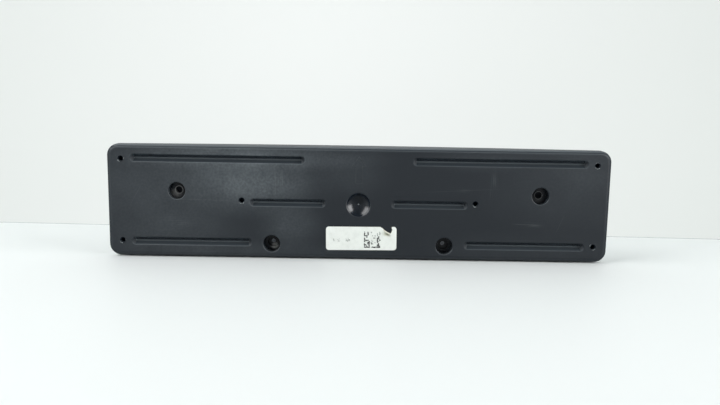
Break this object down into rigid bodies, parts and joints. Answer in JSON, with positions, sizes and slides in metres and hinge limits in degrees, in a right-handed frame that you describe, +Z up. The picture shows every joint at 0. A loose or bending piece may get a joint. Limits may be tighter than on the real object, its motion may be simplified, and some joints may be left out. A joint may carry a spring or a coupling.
{
  "type": "number plate holder",
  "caption": "Long flat moulded carrier that screws to a bumper and holds a number plate, with stiffening beads, deep screw cups, plate screw holes and a curved rear edge.",
  "frame": {"origin": "centre of the rectangle of corner screw holes, on the flat front face that the plate lies on", "axes": "X along the length, to the right as seen from the front; Z up as mounted; -Y out of the front face, towards the viewer"},
  "size_m": [0.5204, 0.0221, 0.1182],
  "materials": {
    "black_polypropylene": "moulded, fine satin grain",
    "white_paper": "coated paper"
  },
  "bodies": {
    "root": {"plate_carrier": "black_polypropylene", "sticker": "white_paper"}
  },
  "joints": []
}
